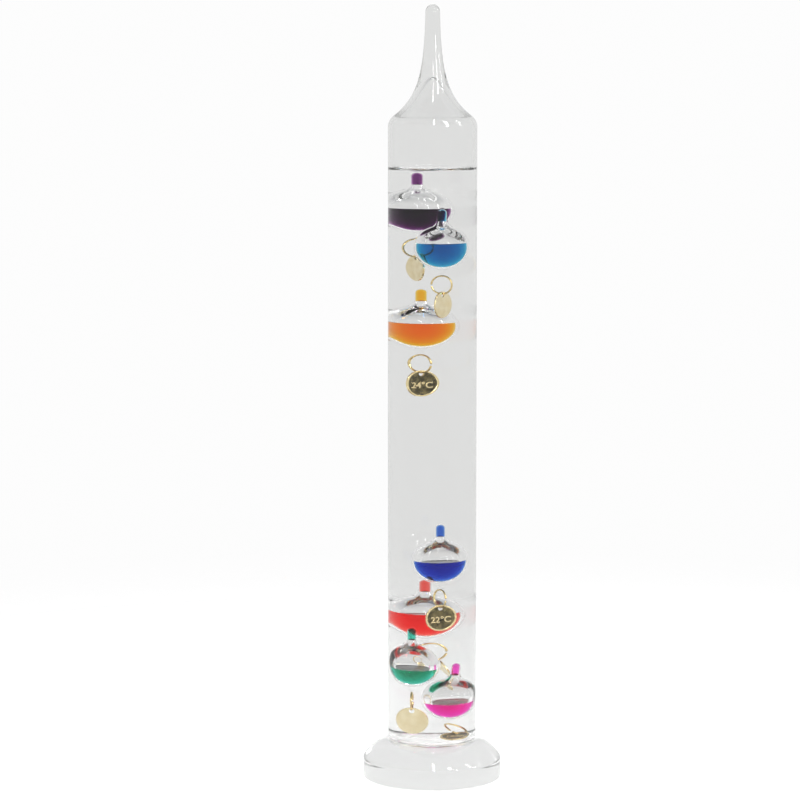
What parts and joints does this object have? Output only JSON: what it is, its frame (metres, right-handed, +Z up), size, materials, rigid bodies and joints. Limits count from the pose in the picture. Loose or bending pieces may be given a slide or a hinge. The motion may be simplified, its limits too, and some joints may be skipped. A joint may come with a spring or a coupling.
{
  "type": "galileo thermometer",
  "caption": "Sealed glass tube of clear liquid on a glass foot, with blown glass bulbs of dyed liquid that float or sink, each with a ring and a brass temperature tag.",
  "frame": {"origin": "middle of the foot's bottom face, which stands on the table", "axes": "+Z up the axis of the tube to the drawn tip; -Y towards the viewer of the tags; +X to the viewer's right"},
  "size_m": [0.05, 0.05, 0.28],
  "materials": {
    "envelope_glass": "polished",
    "foot_glass": "polished",
    "clear_liquid": "gloss",
    "bulb_glass": "polished",
    "purple_dye": "gloss",
    "cyan_dye": "gloss",
    "orange_dye": "gloss",
    "blue_dye": "gloss",
    "red_dye": "gloss",
    "green_dye": "gloss",
    "magenta_dye": "gloss",
    "wire": "polished",
    "tag_brass": "satin"
  },
  "bodies": {
    "root": {"glass_tube": "envelope_glass", "foot": "foot_glass", "fill_liquid": "clear_liquid"},
    "purple_float": {"purple_bulb": "bulb_glass", "purple_liquid": "purple_dye"},
    "purple_ring": {"purple_ring": "wire"},
    "purple_tag": {"purple_tag": "tag_brass"},
    "cyan_float": {"cyan_bulb": "bulb_glass", "cyan_liquid": "cyan_dye"},
    "cyan_ring": {"cyan_ring": "wire"},
    "cyan_tag": {"cyan_tag": "tag_brass"},
    "orange_float": {"orange_bulb": "bulb_glass", "orange_liquid": "orange_dye"},
    "orange_ring": {"orange_ring": "wire"},
    "orange_tag": {"orange_tag": "tag_brass"},
    "blue_float": {"blue_bulb": "bulb_glass", "blue_liquid": "blue_dye"},
    "blue_ring": {"blue_ring": "wire"},
    "blue_tag": {"blue_tag": "tag_brass"},
    "red_float": {"red_bulb": "bulb_glass", "red_liquid": "red_dye"},
    "red_ring": {"red_ring": "wire"},
    "red_tag": {"red_tag": "tag_brass"},
    "green_float": {"green_bulb": "bulb_glass", "green_liquid": "green_dye"},
    "green_ring": {"green_ring": "wire"},
    "green_tag": {"green_tag": "tag_brass"},
    "magenta_float": {"magenta_bulb": "bulb_glass", "magenta_liquid": "magenta_dye"},
    "magenta_ring": {"magenta_ring": "wire"},
    "magenta_tag": {"magenta_tag": "tag_brass"}
  },
  "joints": [
    {"name": "purple_rise", "type": "slide", "parent": "root", "child": "purple_float", "axis": [0, 0, 1], "range_m": [-0.0002, 0.0005], "stiffness_N_per_m": 0.2, "springref_m": 0.1085},
    {"name": "purple_ring_swing", "type": "hinge", "parent": "purple_float", "child": "purple_ring", "pos_m": [-0.0032, 0.00575, 0.19642], "axis": [-0.9703, -0.2419, 0], "range_deg": [-8, 2.5]},
    {"name": "purple_tag_swing", "type": "hinge", "parent": "purple_ring", "child": "purple_tag", "pos_m": [-0.0032, 0.00575, 0.19002], "axis": [-0.9703, -0.2419, 0], "range_deg": [-14, 3]},
    {"name": "cyan_rise", "type": "slide", "parent": "root", "child": "cyan_float", "axis": [0, 0, 1], "range_m": [-0.0005, 0.0002], "stiffness_N_per_m": 0.2, "springref_m": 0.115},
    {"name": "cyan_ring_swing", "type": "hinge", "parent": "cyan_float", "child": "cyan_ring", "pos_m": [0.0026, -0.0035, 0.18362], "axis": [0.9063, -0.4226, 0], "range_deg": [-20, 20]},
    {"name": "cyan_tag_swing", "type": "hinge", "parent": "cyan_ring", "child": "cyan_tag", "pos_m": [0.0026, -0.0035, 0.17722], "axis": [0.9063, -0.4226, 0], "range_deg": [-30, 30]},
    {"name": "orange_rise", "type": "slide", "parent": "root", "child": "orange_float", "axis": [0, 0, 1], "range_m": [-0.058, 0.0018], "stiffness_N_per_m": 0.2, "springref_m": 0.115, "deforming": ["fill_liquid"]},
    {"name": "orange_ring_swing", "type": "hinge", "parent": "orange_float", "child": "orange_ring", "pos_m": [-0.0023, 0.0061, 0.15462], "axis": [-0.6428, 0.766, 0], "range_deg": [-12, 30]},
    {"name": "orange_tag_swing", "type": "hinge", "parent": "orange_ring", "child": "orange_tag", "pos_m": [-0.0023, 0.0061, 0.14822], "axis": [-0.6428, 0.766, 0], "range_deg": [-10, 30]},
    {"name": "blue_rise", "type": "slide", "parent": "root", "child": "blue_float", "axis": [0, 0, 1], "range_m": [-0.0012, 0.058], "stiffness_N_per_m": 0.2, "springref_m": 0.1048},
    {"name": "blue_ring_swing", "type": "hinge", "parent": "blue_float", "child": "blue_ring", "pos_m": [0.0022, -0.0026, 0.06992], "axis": [-0.5299, 0.848, 0], "range_deg": [-10, 20]},
    {"name": "blue_tag_swing", "type": "hinge", "parent": "blue_ring", "child": "blue_tag", "pos_m": [0.0022, -0.0026, 0.06352], "axis": [-0.5299, 0.848, 0], "range_deg": [-20, 20]},
    {"name": "red_rise", "type": "slide", "parent": "root", "child": "red_float", "axis": [0, 0, 1], "range_m": [-0.0003, 0.0012], "stiffness_N_per_m": 0.2, "springref_m": 0.115},
    {"name": "red_ring_swing", "type": "hinge", "parent": "red_float", "child": "red_ring", "pos_m": [-0.0014, 0.0064, 0.04872], "axis": [-0.9703, -0.2419, 0], "range_deg": [-3, 3]},
    {"name": "red_tag_swing", "type": "hinge", "parent": "red_ring", "child": "red_tag", "pos_m": [0.00113, 0.00703, 0.04287], "axis": [-0.8864, -0.221, -0.4067], "range_deg": [-10, 7]},
    {"name": "green_rise", "type": "slide", "parent": "root", "child": "green_float", "axis": [0, 0, 1], "range_m": [-0.0003, 0.0006], "stiffness_N_per_m": 0.2, "springref_m": 0.0902},
    {"name": "green_ring_swing", "type": "hinge", "parent": "green_float", "child": "green_ring", "pos_m": [-0.0056, -0.0028, 0.03202], "axis": [-0.2419, -0.9703, 0], "range_deg": [-15, 3]},
    {"name": "green_tag_swing", "type": "hinge", "parent": "green_ring", "child": "green_tag", "pos_m": [-0.0056, -0.0028, 0.02562], "axis": [-0.2419, -0.9703, 0], "range_deg": [-20, 4]},
    {"name": "magenta_rise", "type": "slide", "parent": "root", "child": "magenta_float", "axis": [0, 0, 1], "range_m": [0, 0.0003], "stiffness_N_per_m": 0.2, "springref_m": 0.0876},
    {"name": "magenta_ring_swing", "type": "hinge", "parent": "magenta_float", "child": "magenta_ring", "pos_m": [0.00341, 0.00143, 0.01986], "axis": [0.2712, 0.9482, 0.1653], "range_deg": [-2, 0]},
    {"name": "magenta_tag_swing", "type": "hinge", "parent": "magenta_ring", "child": "magenta_tag", "pos_m": [0.00686, -0.00203, 0.01673], "axis": [0.0051, -0.1166, 0.9932], "range_deg": [-10, 1]}
  ]
}
